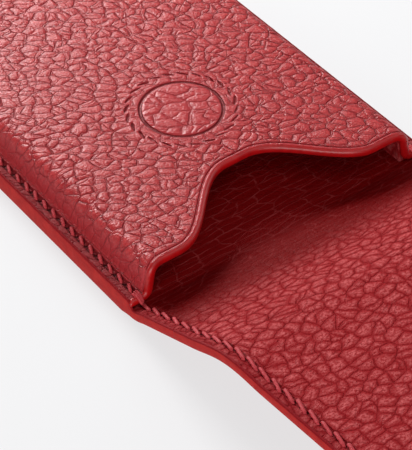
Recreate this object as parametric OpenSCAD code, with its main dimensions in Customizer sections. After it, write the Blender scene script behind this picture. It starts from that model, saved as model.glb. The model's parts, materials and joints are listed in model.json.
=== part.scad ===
// Leather card holder with a moulded pocket and a folding magnetic flap.
// The back panel lies on the XY plane, outer face down. The pocket opens towards -Y,
// where the flap is hinged along a crease. X runs across the width.

/* [Back panel] */
// Overall width of the back panel and the flap
case_width = 71.2; // [68:0.2:80]
// Length of the back panel, from the crease to the closed end
back_length = 100; // [94:0.5:120]
// Radius of the panel corners
corner_radius = 7; // [4:0.5:12]
// Thickness of the outer leather
outer_leather = 1.1; // [0.9:0.1:1.4]
// Thickness of the stiffening board in the back panel
back_board_thickness = 0.7; // [0.4:0.1:0.9]
// Thickness of the lining leather
lining_leather = 1.1; // [0.9:0.1:1.3]

/* [Pocket] */
// Width of the moulded pocket, wall face to wall face
pocket_width = 64; // [61:0.2:66]
// Height of the card space inside the pocket
card_space_height = 5.95; // [4.5:0.05:9]
// Thickness of the pocket's outer leather
pocket_leather_thickness = 1.1; // [0.9:0.1:1.3]
// Thickness of the pocket lining
pocket_lining_thickness = 0.75; // [0.6:0.05:1]
// Thickness of the lining where it is skived down at the flange
flange_lining_thickness = 0.5; // [0.3:0.05:0.6]
// Width of the flange between the closed-end wall and the panel edge
flange_width = 3.6; // [3.2:0.1:5]
// Radius of the pocket's upper edges
shoulder_radius = 2.6; // [2.2:0.1:4]
// Radius of the pocket's closed-end corners in plan
pocket_corner_radius = 6; // [4:0.5:10]
// Distance from the mouth to the end of the back panel
mouth_setback = 0.4; // [0.3:0.05:1]
// Depth of the thumb notch
notch_depth = 13.5; // [8:0.5:18]
// Half width of the thumb notch at the mouth
notch_half_width = 23.4; // [18:0.2:26]
// Half width of the flat stretch at the bottom of the notch
notch_flat_half_width = 2.4; // [0:0.2:6]

/* [Flap] */
// Length of the flap, from the crease axis to its free end
flap_length = 72; // [66:0.5:90]
// Distance from the crease axis to the place where the flap flexes
flex_distance = 29.5; // [24:0.5:31]
// Angle at which the opened flap rises from the crease
flap_rise = 23.5; // [10:0.5:40]
// Angle by which the opened flap bends back towards level
flap_bend = 18; // [0:0.5:20]
// Clearance between the closed flap and the pocket top
closed_clearance = 0.6; // [0.3:0.05:2]

/* [Magnets] */
// Diameter of each magnet disc
magnet_diameter = 14; // [10:0.5:14]
// Thickness of each magnet disc
magnet_thickness = 0.9; // [0.6:0.1:0.9]
// Distance from the pocket mouth to the magnet's centre
magnet_distance = 32.2; // [31.8:0.1:32.6]

// Middle radius of the ring pressed into the leather round the pocket's magnet
ring_radius = 8.25; // [8:0.05:10]
// Width of the pressed ring
ring_width = 0.8; // [0.4:0.1:1.2]
// Depth of the pressed ring
ring_depth = 0.35; // [0.2:0.05:0.5]

/* [Stitching] */
// Distance of the stitch line from the panel edge
stitch_inset = 2.23; // [2:0.01:2.4]
// Stitch pitch through the pocket flange
pocket_pitch = 3.12; // [2.8:0.01:3.6]
// Stitch pitch round the flap
flap_pitch = 3.25; // [3.2:0.01:3.3]
// Radius of the thread
thread_radius = 0.24; // [0.15:0.01:0.26]
// Length of one stitch
stitch_length = 2.3; // [1.8:0.1:2.3]
// Distance of the line pressed into the flange from the panel edge
pressed_line_inset = 1; // [0.8:0.05:1.2]
// Width of the pressed line
pressed_line_width = 0.3; // [0.2:0.05:0.4]
// Depth of the pressed line
pressed_line_depth = 0.15; // [0.1:0.05:0.3]

/* [Hidden] */

half_width = case_width / 2;
panel_start = -back_length / 2;
panel_end = back_length / 2;

// Heights in the back panel and the pocket, from the outer face up
board_bottom = outer_leather;
board_top = board_bottom + back_board_thickness;
floor_z = board_top + lining_leather;
flange_lining_top = floor_z + flange_lining_thickness;
flange_top = flange_lining_top + pocket_leather_thickness;
ceiling_z = floor_z + card_space_height;
pocket_lining_top = ceiling_z + pocket_lining_thickness;
pocket_top = pocket_lining_top + pocket_leather_thickness;
wall_thickness = pocket_leather_thickness + pocket_lining_thickness;

// Places along Y
mouth_y = panel_start + mouth_setback;
pocket_end = panel_end - flange_width;
notch_base = mouth_y + 0.8;
magnet_y = mouth_y + magnet_distance;

// The flap is one board thinner than the back panel, on its outer side
flap_outer_face = back_board_thickness;
flap_lining_bottom = flap_outer_face + outer_leather;

// Fold axes: each runs fold_radius above the inner face, so the leather turns round it
fold_radius = 1.0;
crease_axis = [0, mouth_y + 0.1, floor_z + fold_radius];
closed_flap_z = pocket_top + closed_clearance;
spine_span = closed_flap_z - floor_z - 2 * fold_radius;
// Ends of the flap's stretches, as distances from the crease axis
spine_begin = 0.4;
joint_gap = 0.1;
spine_end = spine_span - joint_gap;
root_begin = spine_span + joint_gap;
root_end = flex_distance - joint_gap;
tip_begin = flex_distance + joint_gap;
flap_magnet_distance = spine_span + magnet_y - crease_axis.y;

// Boards sit in pockets cut into the linings
board_margin = 4.5;
board_play = 0.1;
flap_board_thickness = 0.4;
pocket_board_thickness = 0.3;
magnet_play = 0.1;
magnet_lining_recess = 0.4;

// Stitches lie in grooves, wide enough for a slanted stitch on the corner's curve
groove_half_width = 0.6;
thread_lift = 0.3;
thread_play = 0.02;
groove_depth = thread_lift + thread_radius + thread_play;
stitch_slant = 9;
first_pocket_stitch = mouth_y + 3.4;
first_flap_stitch = 1.72;
flap_stitch_count = floor((flap_length - corner_radius - first_flap_stitch) / flap_pitch) + 1;
seam_x = half_width - stitch_inset;
seam_corner_radius = corner_radius - stitch_inset;

// Corner tacks
tack_thread_radius = 0.25;
tack_spacing = 0.58;
tack_reach = 2.2;
tack_foot = 0.6;

eps = 0.01;
round_fn = 64;

leather_red = [0.68, 0.16, 0.18];
lining_red = [0.60, 0.12, 0.14];
thread_red = [0.72, 0.22, 0.25];
board_grey = [0.55, 0.52, 0.48];
magnet_grey = [0.70, 0.70, 0.72];

// Plan of a panel from y0 to y1 with its two corners at y1 rounded, drawn inside by inset
module panel_plan(y0, y1, half, radius, inset = 0) {
    r = radius - inset;
    x = half - inset;
    y = y1 - inset;
    translate([-x, y0]) square([2 * x, y - r - y0]);
    translate([-(x - r), y0]) square([2 * (x - r), y - y0]);
    for (side = [-1, 1])
        translate([side * (x - r), y - r]) circle(r = r, $fn = round_fn);
}

// The back panel's plan, drawn inside by inset
module back_plan(inset = 0) {
    panel_plan(panel_start, panel_end, half_width, corner_radius, inset);
}

// A band along the stitch line of a panel
module seam_band(y0, y1) {
    difference() {
        panel_plan(y0, y1, half_width, corner_radius, stitch_inset - groove_half_width);
        translate([0, -eps])
            panel_plan(y0, y1 + eps, half_width, corner_radius, stitch_inset + groove_half_width);
    }
}

// The line pressed into the flange outside its stitches
module pressed_line() {
    near = pressed_line_inset - pressed_line_width / 2;
    difference() {
        panel_plan(panel_start - 1, panel_end, half_width, corner_radius, near);
        translate([0, -eps]) panel_plan(panel_start - 1, panel_end + eps, half_width, corner_radius,
            near + pressed_line_width);
    }
}

// The ring pressed round the magnet, as a tube that stands on the ring's floor
module pressed_ring() {
    translate([0, magnet_y, pocket_top - ring_depth]) difference() {
        cylinder(r = ring_radius + ring_width / 2, h = ring_depth + eps, $fn = round_fn);
        translate([0, 0, -eps])
            cylinder(r = ring_radius - ring_width / 2, h = ring_depth + 3 * eps, $fn = round_fn);
    }
}

// Two straight bands along the stitch lines of a panel's sides
module side_bands(y0, y1) {
    for (side = [-1, 1])
        translate([side * seam_x - groove_half_width, y0])
            square([2 * groove_half_width, y1 - y0]);
}

// The moulded block of the pocket, drawn inside by inset: crowned edges, rounded corners
module pocket_block(inset) {
    half = pocket_width / 2 - inset;
    top = pocket_top - inset;
    end = pocket_end - inset;
    r = shoulder_radius - inset;
    start = mouth_y - 2;
    intersection() {
        linear_extrude(top)
            panel_plan(start, pocket_end, pocket_width / 2, pocket_corner_radius, inset);
        translate([0, end, 0]) rotate([90, 0, 0]) linear_extrude(end - start)
            panel_plan(0, top, half, r);
        translate([-half, 0, 0]) rotate([90, 0, 90]) linear_extrude(2 * half) {
            translate([start, 0]) square([end - r - start, top]);
            translate([start, 0]) square([end - start, top - r]);
            translate([end - r, top - r]) circle(r = r, $fn = round_fn);
        }
    }
}

// Depth of the thumb notch at a distance x from the centre line
function notch_share(x) =
    let (t = (abs(x) - notch_flat_half_width) / (notch_half_width - notch_flat_half_width))
    t <= 0 ? 1 : t >= 1 ? 0 : (1 + cos(180 * t)) / 2;

// Cuts away what lies in front of the mouth line and inside the thumb notch
module mouth_cut() {
    steps = 48;
    front = mouth_y - 5;
    wave = [for (i = [0:steps])
        let (x = notch_half_width * (2 * i / steps - 1)) [x, notch_base + notch_depth * notch_share(x)]];
    translate([0, 0, ceiling_z - eps]) linear_extrude(pocket_top - ceiling_z + 1)
        polygon(concat([[-notch_half_width, front]], wave, [[notch_half_width, front]]));
    translate([-case_width, front, 0]) cube([2 * case_width, mouth_y - front, pocket_top + 1]);
}

// One stitch lying along +Y at its middle
module stitch(radius = thread_radius, length = stitch_length) {
    reach = length / 2 - radius;
    rotate([0, 0, -stitch_slant]) rotate([90, 0, 0]) {
        cylinder(r = radius, h = 2 * reach, center = true, $fn = 24);
        for (end = [-reach, reach])
            translate([0, 0, end]) sphere(r = radius, $fn = 24);
    }
}

// A straight run of stitches, from the first stitch's middle, on the side given by its x
module stitch_run(x, first, pitch, count, z) {
    for (i = [0:count - 1])
        translate([x, first + i * pitch, z]) stitch();
}

// Where a stitch lies on the run round a panel's end: s is measured from the left corner's start
function end_run_length() = PI * seam_corner_radius + 2 * (seam_x - seam_corner_radius);
function end_place(s, y1) =
    let (
        arc = PI * seam_corner_radius / 2,
        straight = 2 * (seam_x - seam_corner_radius),
        cx = seam_x - seam_corner_radius,
        cy = y1 - corner_radius,
        a = s < arc ? 90 * s / arc : s < arc + straight ? 90 : 90 + 90 * (s - arc - straight) / arc,
        shift = s < arc ? -cx : s < arc + straight ? s - arc - cx : cx
    ) [shift - seam_corner_radius * cos(a), cy + seam_corner_radius * sin(a), -a];

// The run of stitches round a panel's end
module end_run(y1, pitch, z) {
    count = floor(end_run_length() / pitch);
    step = end_run_length() / count;
    for (i = [0:count - 1]) {
        place = end_place((i + 0.5) * step, y1);
        translate([place.x, place.y, z]) rotate([0, 0, place.z]) stitch();
    }
}

// Places a flap stretch, drawn flat beyond the crease, at its rest angle
module on_flap_root() {
    translate(crease_axis) rotate([-flap_rise, 0, 0]) translate([0, 0, -crease_axis.z]) children();
}

// Places the flap tip, which bends back about a line on the outer face
module on_flap_tip() {
    on_flap_root()
        translate([0, -flex_distance, flap_outer_face]) rotate([flap_bend, 0, 0])
            translate([0, flex_distance, -flap_outer_face]) children();
}

// A flat plate of the flap between two distances from the crease axis
module flap_plate(from, to, half, z0, z1) {
    translate([-half, -to, z0]) cube([2 * half, to - from, z1 - z0]);
}

// Plan of the flap tip with its free corners rounded
module tip_plan(inset = 0) {
    mirror([0, 1]) panel_plan(tip_begin, flap_length, half_width, corner_radius, inset);
}

// The outer leather of a straight flap stretch, with its stitch grooves
module flap_leather(from, to) {
    difference() {
        flap_plate(from, to, half_width, flap_outer_face, flap_lining_bottom);
        translate([0, 0, flap_outer_face - eps]) linear_extrude(groove_depth + eps)
            side_bands(-to - eps, -from + eps);
    }
}

// The lining of a straight flap stretch, with its stitch grooves
module flap_lining(from, to) {
    difference() {
        flap_plate(from, to, half_width, flap_lining_bottom, floor_z);
        translate([0, 0, floor_z - groove_depth]) linear_extrude(groove_depth + eps)
            side_bands(-to - eps, -from + eps);
    }
}

// The stitches on both faces along both sides of a straight flap stretch
module flap_side_seams(first_index, last_index) {
    for (side = [-1, 1], z = [flap_outer_face + thread_lift, floor_z - thread_lift])
        stitch_run(side * seam_x, -first_flap_stitch - last_index * flap_pitch, flap_pitch,
            last_index - first_index + 1, z);
}

// Numbers of the last stitch on each stretch of the flap's sides
last_spine_stitch = 1;
last_root_stitch = 8;

module back_leather() {
    color(leather_red) difference() {
        linear_extrude(outer_leather) back_plan();
        translate([0, 0, -eps]) linear_extrude(groove_depth + eps)
            seam_band(panel_start - 1, panel_end);
    }
}

module back_board() {
    color(board_grey) translate([0, 0, board_bottom]) linear_extrude(back_board_thickness)
        translate([0, board_play]) panel_plan(panel_start + board_margin, panel_end - board_play,
            half_width, corner_radius, board_margin + board_play);
}

module back_lining() {
    color(lining_red) difference() {
        translate([0, 0, board_bottom]) linear_extrude(floor_z - board_bottom) back_plan();
        translate([0, 0, board_bottom - eps]) linear_extrude(back_board_thickness + eps)
            panel_plan(panel_start + board_margin, panel_end, half_width, corner_radius, board_margin);
    }
}

module pocket_leather() {
    color(leather_red) difference() {
        union() {
            translate([0, 0, flange_lining_top]) linear_extrude(pocket_leather_thickness) back_plan();
            intersection() {
                pocket_block(0);
                translate([-half_width, panel_start, flange_lining_top])
                    cube([case_width, back_length, pocket_top]);
            }
        }
        pocket_block(pocket_leather_thickness);
        mouth_cut();
        translate([0, 0, flange_top - groove_depth]) linear_extrude(groove_depth + eps)
            seam_band(panel_start - 1, panel_end);
        translate([0, 0, flange_top - pressed_line_depth]) linear_extrude(pressed_line_depth + eps)
            pressed_line();
        pressed_ring();
        translate([0, magnet_y, pocket_lining_top - eps])
            cylinder(d = magnet_diameter + magnet_play,
                h = magnet_thickness - magnet_lining_recess + magnet_play / 2 + eps, $fn = round_fn);
    }
}

module pocket_board() {
    inset = wall_thickness + 1.2;
    color(board_grey) difference() {
        translate([0, 0, pocket_lining_top - pocket_board_thickness]) linear_extrude(pocket_board_thickness)
            panel_plan(notch_base + notch_depth + 3, pocket_end, pocket_width / 2,
                pocket_corner_radius, inset + board_play);
        translate([0, magnet_y, ceiling_z])
            cylinder(d = magnet_diameter + 1, h = pocket_top - ceiling_z, $fn = round_fn);
    }
}

module pocket_lining() {
    inset = wall_thickness + 1.2;
    color(lining_red) difference() {
        union() {
            translate([0, 0, floor_z]) linear_extrude(flange_lining_thickness) back_plan();
            intersection() {
                pocket_block(pocket_leather_thickness);
                translate([-half_width, panel_start, floor_z])
                    cube([case_width, back_length, pocket_top]);
            }
        }
        pocket_block(wall_thickness);
        mouth_cut();
        translate([0, 0, pocket_lining_top - pocket_board_thickness])
            linear_extrude(pocket_board_thickness + eps)
                panel_plan(notch_base + notch_depth + 3 - board_play, pocket_end, pocket_width / 2,
                    pocket_corner_radius, inset);
        translate([0, magnet_y, pocket_lining_top - magnet_lining_recess])
            cylinder(d = magnet_diameter + magnet_play, h = magnet_lining_recess + eps, $fn = round_fn);
    }
}

module pocket_magnet() {
    color(magnet_grey) translate([0, magnet_y, pocket_lining_top - magnet_lining_recess])
        cylinder(d = magnet_diameter, h = magnet_thickness, $fn = round_fn);
}

// Stitches on both faces along one side of the pocket flange
module pocket_side_seam(side) {
    count = floor((panel_end - corner_radius - first_pocket_stitch) / pocket_pitch) + 1;
    for (z = [thread_lift, flange_top - thread_lift])
        stitch_run(side * seam_x, first_pocket_stitch, pocket_pitch, count, z);
}

module pocket_seam_left() {
    color(thread_red) pocket_side_seam(-1);
}

module pocket_seam_right() {
    color(thread_red) pocket_side_seam(1);
}

module pocket_seam_end() {
    color(thread_red) for (z = [thread_lift, flange_top - thread_lift])
        end_run(panel_end, pocket_pitch, z);
}

// Three turns of thread that lock the flange to the back panel at a mouth corner
module corner_tack(side) {
    top = flange_top + tack_thread_radius;
    front = mouth_y - tack_thread_radius - 0.05;
    for (i = [-1:1]) translate([side * seam_x + i * tack_spacing, front, top]) {
        sphere(r = tack_thread_radius, $fn = 24);
        rotate([-90, 0, 0]) cylinder(r = tack_thread_radius, h = tack_reach, $fn = 24);
        mirror([0, 0, 1]) cylinder(r = tack_thread_radius, h = top - floor_z - tack_foot, $fn = 24);
    }
}

module corner_tack_left() {
    color(thread_red) corner_tack(-1);
}

module corner_tack_right() {
    color(thread_red) corner_tack(1);
}

module spine_leather() {
    color(leather_red) on_flap_root() flap_leather(spine_begin, spine_end);
}

module spine_board() {
    color(board_grey) on_flap_root()
        flap_plate(spine_begin + 0.8 + board_play, spine_end - 0.8 - board_play,
            half_width - board_margin - board_play,
            flap_lining_bottom, flap_lining_bottom + flap_board_thickness);
}

module spine_lining() {
    color(lining_red) on_flap_root() difference() {
        flap_lining(spine_begin, spine_end);
        flap_plate(spine_begin + 0.8, spine_end - 0.8, half_width - board_margin,
            flap_lining_bottom - eps, flap_lining_bottom + flap_board_thickness);
    }
}

module spine_seams() {
    color(thread_red) on_flap_root() flap_side_seams(0, last_spine_stitch);
}

module flap_root_leather() {
    color(leather_red) on_flap_root() flap_leather(root_begin, root_end);
}

module flap_root_lining() {
    color(lining_red) on_flap_root() flap_lining(root_begin, root_end);
}

module flap_root_seams() {
    color(thread_red) on_flap_root() flap_side_seams(last_spine_stitch + 1, last_root_stitch);
}

// A band along the stitch line of the flap tip
module tip_band() {
    mirror([0, 1]) seam_band(tip_begin - 1, flap_length);
}

// Where the board lies in the flap tip
module tip_board_plan(inset = 0) {
    mirror([0, 1]) panel_plan(tip_begin + board_margin + inset, flap_length, half_width,
        corner_radius, board_margin + inset);
}

// The magnet's seat in the flap tip
module tip_magnet_seat(z0, z1) {
    translate([0, -flap_magnet_distance, z0])
        cylinder(d = magnet_diameter + magnet_play, h = z1 - z0, $fn = round_fn);
}

flap_magnet_bottom = flap_lining_bottom - 0.3;
flap_magnet_top = flap_magnet_bottom + magnet_thickness;

module flap_tip_leather() {
    color(leather_red) on_flap_tip() difference() {
        translate([0, 0, flap_outer_face]) linear_extrude(outer_leather) tip_plan();
        translate([0, 0, flap_outer_face - eps]) linear_extrude(groove_depth + eps) tip_band();
        tip_magnet_seat(flap_magnet_bottom, flap_lining_bottom + eps);
    }
}

module flap_tip_board() {
    color(board_grey) on_flap_tip() difference() {
        translate([0, 0, flap_lining_bottom]) linear_extrude(flap_board_thickness)
            tip_board_plan(board_play);
        translate([0, -flap_magnet_distance, flap_lining_bottom - 1])
            cylinder(d = magnet_diameter + 1, h = 3, $fn = round_fn);
    }
}

module flap_tip_lining() {
    color(lining_red) on_flap_tip() difference() {
        translate([0, 0, flap_lining_bottom]) linear_extrude(lining_leather) tip_plan();
        translate([0, 0, flap_lining_bottom - eps]) linear_extrude(flap_board_thickness + eps)
            tip_board_plan();
        translate([0, 0, floor_z - groove_depth]) linear_extrude(groove_depth + eps) tip_band();
        tip_magnet_seat(flap_lining_bottom - eps, flap_magnet_top + magnet_play / 2);
    }
}

module flap_magnet() {
    color(magnet_grey) on_flap_tip() translate([0, -flap_magnet_distance, flap_magnet_bottom])
        cylinder(d = magnet_diameter, h = magnet_thickness, $fn = round_fn);
}

module flap_tip_seams() {
    color(thread_red) on_flap_tip() {
        flap_side_seams(last_root_stitch + 1, flap_stitch_count - 1);
        for (z = [flap_outer_face + thread_lift, floor_z - thread_lift])
            mirror([0, 1, 0]) end_run(flap_length, flap_pitch, z);
    }
}

back_leather();
back_board();
back_lining();
pocket_leather();
pocket_board();
pocket_lining();
pocket_magnet();
pocket_seam_left();
pocket_seam_right();
pocket_seam_end();
corner_tack_left();
corner_tack_right();
spine_leather();
spine_board();
spine_lining();
spine_seams();
flap_root_leather();
flap_root_lining();
flap_root_seams();
flap_tip_leather();
flap_tip_board();
flap_tip_lining();
flap_magnet();
flap_tip_seams();
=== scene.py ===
"""Leather card holder: the looks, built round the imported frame.

Lengths are in millimetres until a mesh is made. Skins, edges and seams are worked out on the case laid flat,
where s is the distance from the crease's axis towards the flap's tip. to_rest() then opens the flap.
"""

import json
import math
from collections import namedtuple

import bmesh
import bpy
import numpy as np
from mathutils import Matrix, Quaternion, Vector


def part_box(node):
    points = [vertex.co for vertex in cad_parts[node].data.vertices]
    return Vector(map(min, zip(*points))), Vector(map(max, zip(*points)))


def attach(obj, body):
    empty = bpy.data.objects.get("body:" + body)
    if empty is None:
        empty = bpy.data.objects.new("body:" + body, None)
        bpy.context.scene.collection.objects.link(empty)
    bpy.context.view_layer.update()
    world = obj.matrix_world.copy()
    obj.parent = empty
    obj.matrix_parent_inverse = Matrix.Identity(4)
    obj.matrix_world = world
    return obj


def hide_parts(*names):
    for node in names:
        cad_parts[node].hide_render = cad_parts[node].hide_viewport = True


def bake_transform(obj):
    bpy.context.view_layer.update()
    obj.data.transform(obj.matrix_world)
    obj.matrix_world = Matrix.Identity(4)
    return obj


MM = 0.001

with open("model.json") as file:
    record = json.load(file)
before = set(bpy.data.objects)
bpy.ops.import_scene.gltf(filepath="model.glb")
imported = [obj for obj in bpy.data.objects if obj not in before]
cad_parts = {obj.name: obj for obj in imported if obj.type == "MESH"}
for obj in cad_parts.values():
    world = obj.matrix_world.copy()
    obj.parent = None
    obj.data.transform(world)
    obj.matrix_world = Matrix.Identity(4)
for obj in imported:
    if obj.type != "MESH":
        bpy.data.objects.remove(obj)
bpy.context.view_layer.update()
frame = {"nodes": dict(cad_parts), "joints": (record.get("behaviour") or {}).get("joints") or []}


# ---- sizes


def node_box(node):
    """Lowest and highest corner of a CAD node, in millimetres."""
    low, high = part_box(node)
    return np.array(low) / MM, np.array(high) / MM


joints = {joint["name"]: joint for joint in frame["joints"]}


def joint_place(name):
    return np.array(joints[name]["pos_m"]) / MM


pocket_low, pocket_high = node_box("pocket_leather")
magnet_low, magnet_high = node_box("pocket_magnet")
seam_low, seam_high = node_box("pocket_seam_right")

HALF, PANEL_END, OUTER_LEATHER = node_box("back_leather")[1]
BOARD_TOP = node_box("back_board")[1][2]
FLOOR = node_box("back_lining")[1][2]
FLAP_OUTER_FACE = BOARD_TOP - OUTER_LEATHER
MOUTH = pocket_low[1]
POCKET_TOP = pocket_high[2]
FLANGE_UNDERSIDE = pocket_low[2]
MAGNET_Y = (magnet_low[1] + magnet_high[1]) / 2
SEAM_X = (seam_low[0] + seam_high[0]) / 2

CREASE = joint_place("crease_fold")[1:]
SPINE_CORNER = joint_place("spine_fold")[1:]
RISE = math.atan2(SPINE_CORNER[1] - CREASE[1], CREASE[0] - SPINE_CORNER[0])
BEND = math.radians(joints["flap_flex"]["range_deg"][1])

# Sizes that the frame's boxes don't give, as in the part's source
CORNER = 7.0
FLAP_LENGTH = 72.0
POCKET_LEATHER, POCKET_LINING = 1.1, 0.75
POCKET_HALF, POCKET_CORNER = 32.0, 6.0
SHOULDER, WALL_LEAN, FLANGE_FILLET = 2.6, 0.5, 0.8
NOTCH_DEPTH, NOTCH_HALF, NOTCH_FLAT = 13.5, 23.4, 2.4
LIP_SETBACK = 0.8
FIRST_FLAP_STITCH, FLAP_PITCH = 1.72, 3.25
FIRST_POCKET_STITCH, POCKET_PITCH = 3.4, 3.12

TIP = CREASE[0] - FLAP_LENGTH
FLANGE_TOP = FLANGE_UNDERSIDE + POCKET_LEATHER
WALL = POCKET_LEATHER + POCKET_LINING
SEAM_INSET = HALF - SEAM_X

# Where the leather bends at rest, and where each joint bends it, as distances from the crease's axis
CREASE_FOLD, FLEX_FOLD = (-2.6, 3.4), (19.5, 39.5)
CREASE_TURN, SPINE_TURN, FLEX_TURN = (0.1, 3.9), (4.2, 8.7), FLEX_FOLD
# Where the skins and the painted edge are cut into a back, a spine and a flap length
CUTS = (4.1, 13.9)

# The leather stops short of its cut edges, where the edge paint takes over
EDGE_INSET, LIP_INSET = 0.28, 0.75
# Neighbouring layers are kept this far apart
GAP, WIDE_GAP = 0.02, 0.03
# The distance written where no seam or edge is near
FAR = 9.0
# Attributes of a leather's points on its hidden side
HIDDEN = {"grain": 0.0, "amount": 0.0, "seam": FAR}


# ---- shaping helpers


def ramp(value, low, high):
    """A smooth step from nought at low to one at high."""
    t = np.clip((np.asarray(value, float) - low) / (high - low), 0, 1)
    return t * t * (3 - 2 * t)


def bell(value, centre, width, height):
    return height * np.exp(-(((value - centre) / width) ** 2))


def stack(*values):
    """Points from their coordinates, each of which may be one number for all of them."""
    return np.column_stack(np.broadcast_arrays(*values))


def mirrored(run):
    """A run of plan points or directions on the case's other side, in reverse order."""
    return run[::-1] * [-1, 1]


def unit(vectors):
    return vectors / np.maximum(np.linalg.norm(vectors, axis=1, keepdims=True), 1e-12)


def directions(path):
    """Unit tangents of a path."""
    return unit(np.gradient(path, axis=0))


def lengths_along(path):
    """Distance along a path from its start to each of its points."""
    return np.concatenate([[0], np.cumsum(np.linalg.norm(np.diff(path, axis=0), axis=1))])


def steps_between(stops):
    """Increasing values from stretches given as (start, spacing), ended by (end, None)."""
    values = []
    for (start, spacing), (end, _) in zip(stops[:-1], stops[1:]):
        count = max(1, round((end - start) / spacing))
        values.extend(np.linspace(start, end, count, endpoint=False))
    return np.array(values + [stops[-1][0]])


def turn(points, axis, angle):
    """Turns points in the YZ plane about an axis along X. A positive angle raises what lies towards -Y."""
    y, z = points[:, 1] - axis[0], points[:, 2] - axis[1]
    c, s = np.cos(angle), np.sin(angle)
    return stack(points[:, 0], axis[0] + y * c + z * s, axis[1] - y * s + z * c)


flex_axis = turn(joint_place("flap_flex")[None], CREASE, -RISE)[0, 1:]


def to_rest(points):
    """Moves points of the case laid flat to where the opened flap holds them."""
    s = CREASE[0] - points[:, 1]
    bent = turn(points, flex_axis, -BEND * ramp(s, *FLEX_FOLD))
    return turn(bent, CREASE, RISE * ramp(s, *CREASE_FOLD))


# ---- meshes and pieces


def grid_faces(rows, columns, flip):
    """Quads of a grid whose points run row by row."""
    a = (np.arange(rows - 1)[:, None] * columns + np.arange(columns - 1)).ravel()
    quads = np.stack([a, a + 1, a + columns + 1, a + columns], 1)
    return quads[:, ::-1] if flip else quads


def tube_faces(rings, size):
    """Faces of a closed tube whose points run ring by ring, with a cap at both ends."""
    a = np.arange((rings - 1) * size)
    b = a // size * size + (a + 1) % size
    sides = np.stack([a, b, b + size, a + size], 1).tolist()
    return sides + [list(range(size))[::-1], list(range((rings - 1) * size, rings * size))]


def zip_loops(first, second, points):
    """Triangles that join two open runs of point numbers which start and end side by side."""
    a, b = lengths_along(points[first]), lengths_along(points[second])
    a, b = a / a[-1], b / b[-1]
    i = j = 0
    faces = []
    while i < len(first) - 1 or j < len(second) - 1:
        if j == len(second) - 1 or (i < len(first) - 1 and a[i + 1] <= b[j + 1]):
            faces.append((first[i], first[i + 1], second[j]))
            i += 1
        else:
            faces.append((first[i], second[j + 1], second[j]))
            j += 1
    return faces


def point_normals(points, quads):
    """Smooth unit normals of a quad mesh."""
    p = points[quads]
    normals = np.cross(p[:, 2] - p[:, 0], p[:, 3] - p[:, 1])
    total = np.zeros_like(points)
    for k in range(4):
        np.add.at(total, quads[:, k], normals)
    return unit(total)


def make_object(name, points, faces, attributes, material=None):
    mesh = bpy.data.meshes.new(name)
    mesh.from_pydata((points * MM).tolist(), [], faces)
    mesh.update()
    for key, values in attributes.items():
        values = np.asarray(values, np.float32)
        kind, field = ("FLOAT_VECTOR", "vector") if values.ndim == 2 else ("FLOAT", "value")
        mesh.attributes.new(key, kind, "POINT").data.foreach_set(field, values.ravel())
    mesh.shade_smooth()
    if material:
        mesh.materials.append(material)
    piece = bpy.data.objects.new(name, mesh)
    bpy.context.scene.collection.objects.link(piece)
    return piece


def closed_piece(name, points, faces, attributes, material):
    """A closed mesh with every face turned outward."""
    piece = make_object(name, points, faces, attributes, material)
    work = bmesh.new()
    work.from_mesh(piece.data)
    bmesh.ops.recalc_face_normals(work, faces=work.faces)
    work.to_mesh(piece.data)
    work.free()
    return piece


def join(parts):
    """Several (points, faces, coordinates) as one."""
    points, faces, along, base = [], [], [], 0
    for p, f, c in parts:
        points.append(p)
        faces += [[base + k for k in face] for face in f]
        along.append(c)
        base += len(p)
    return np.concatenate(points), faces, np.concatenate(along)


def ride_back(piece, slot, *nodes):
    """Fixes a piece to the back panel, and hides the CAD nodes that it replaces."""
    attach(piece, "back")
    if nodes:
        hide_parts(*nodes)


def place_lengths(pieces, replaced):
    """Bakes the three lengths of a skin, edge or seam in place, and hides the CAD nodes that they replace."""
    bodies = ("back", "spine", "flap_root", "flap_tip")
    spans = (CREASE_TURN, SPINE_TURN, FLEX_TURN)
    for piece, a, b, span, nodes in zip(pieces, bodies, bodies[1:], spans, replaced):
        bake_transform(piece)
        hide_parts(*nodes)


# ---- node helpers, for shaders and relief alike


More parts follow.
